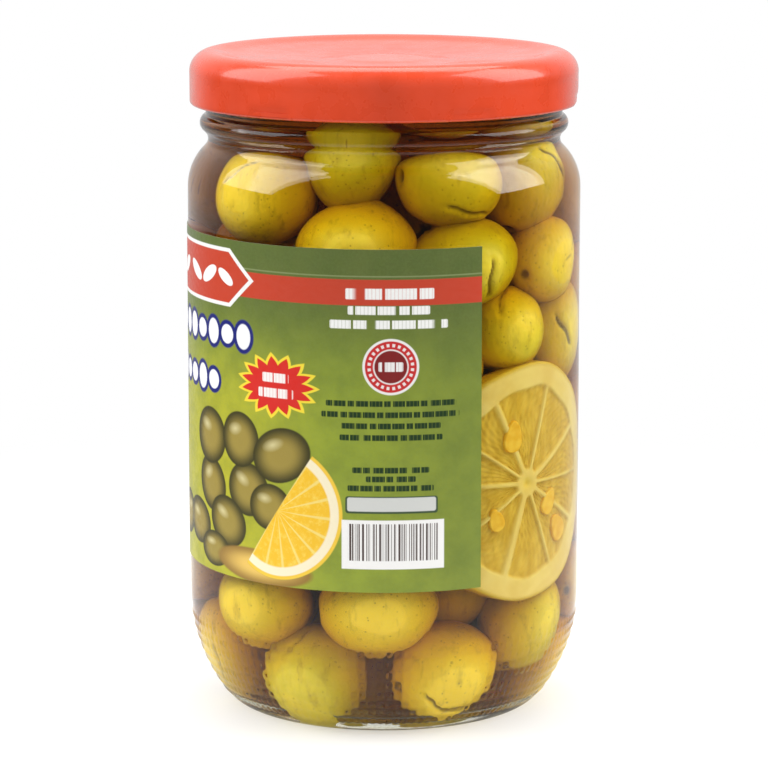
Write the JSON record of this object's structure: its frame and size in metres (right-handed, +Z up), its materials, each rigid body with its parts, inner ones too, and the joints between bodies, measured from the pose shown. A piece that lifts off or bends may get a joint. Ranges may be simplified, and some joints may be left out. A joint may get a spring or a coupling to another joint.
{
  "type": "jar of olives",
  "caption": "Round glass jar with a twist-off tinplate lid and a paper label, filled with cracked green olives in brine and a slice of lemon.",
  "frame": {"origin": "centre of the foot, on the surface that the jar stands on", "axes": "+Z up along the jar's axis, -Y towards the front of the label"},
  "size_m": [0.0868, 0.0867, 0.1452],
  "materials": {
    "clear_glass": "gloss",
    "red_lacquered_tin": "gloss",
    "sealing_ring": "matte",
    "label_paper": "satin",
    "olive_flesh": "satin",
    "lemon_flesh": "satin"
  },
  "bodies": {
    "root": {"glass_jar": "clear_glass", "lid": "red_lacquered_tin", "lid_liner": "sealing_ring", "label": "label_paper", "olives_in_brine": "olive_flesh", "lemon_slice": "lemon_flesh"}
  },
  "joints": []
}
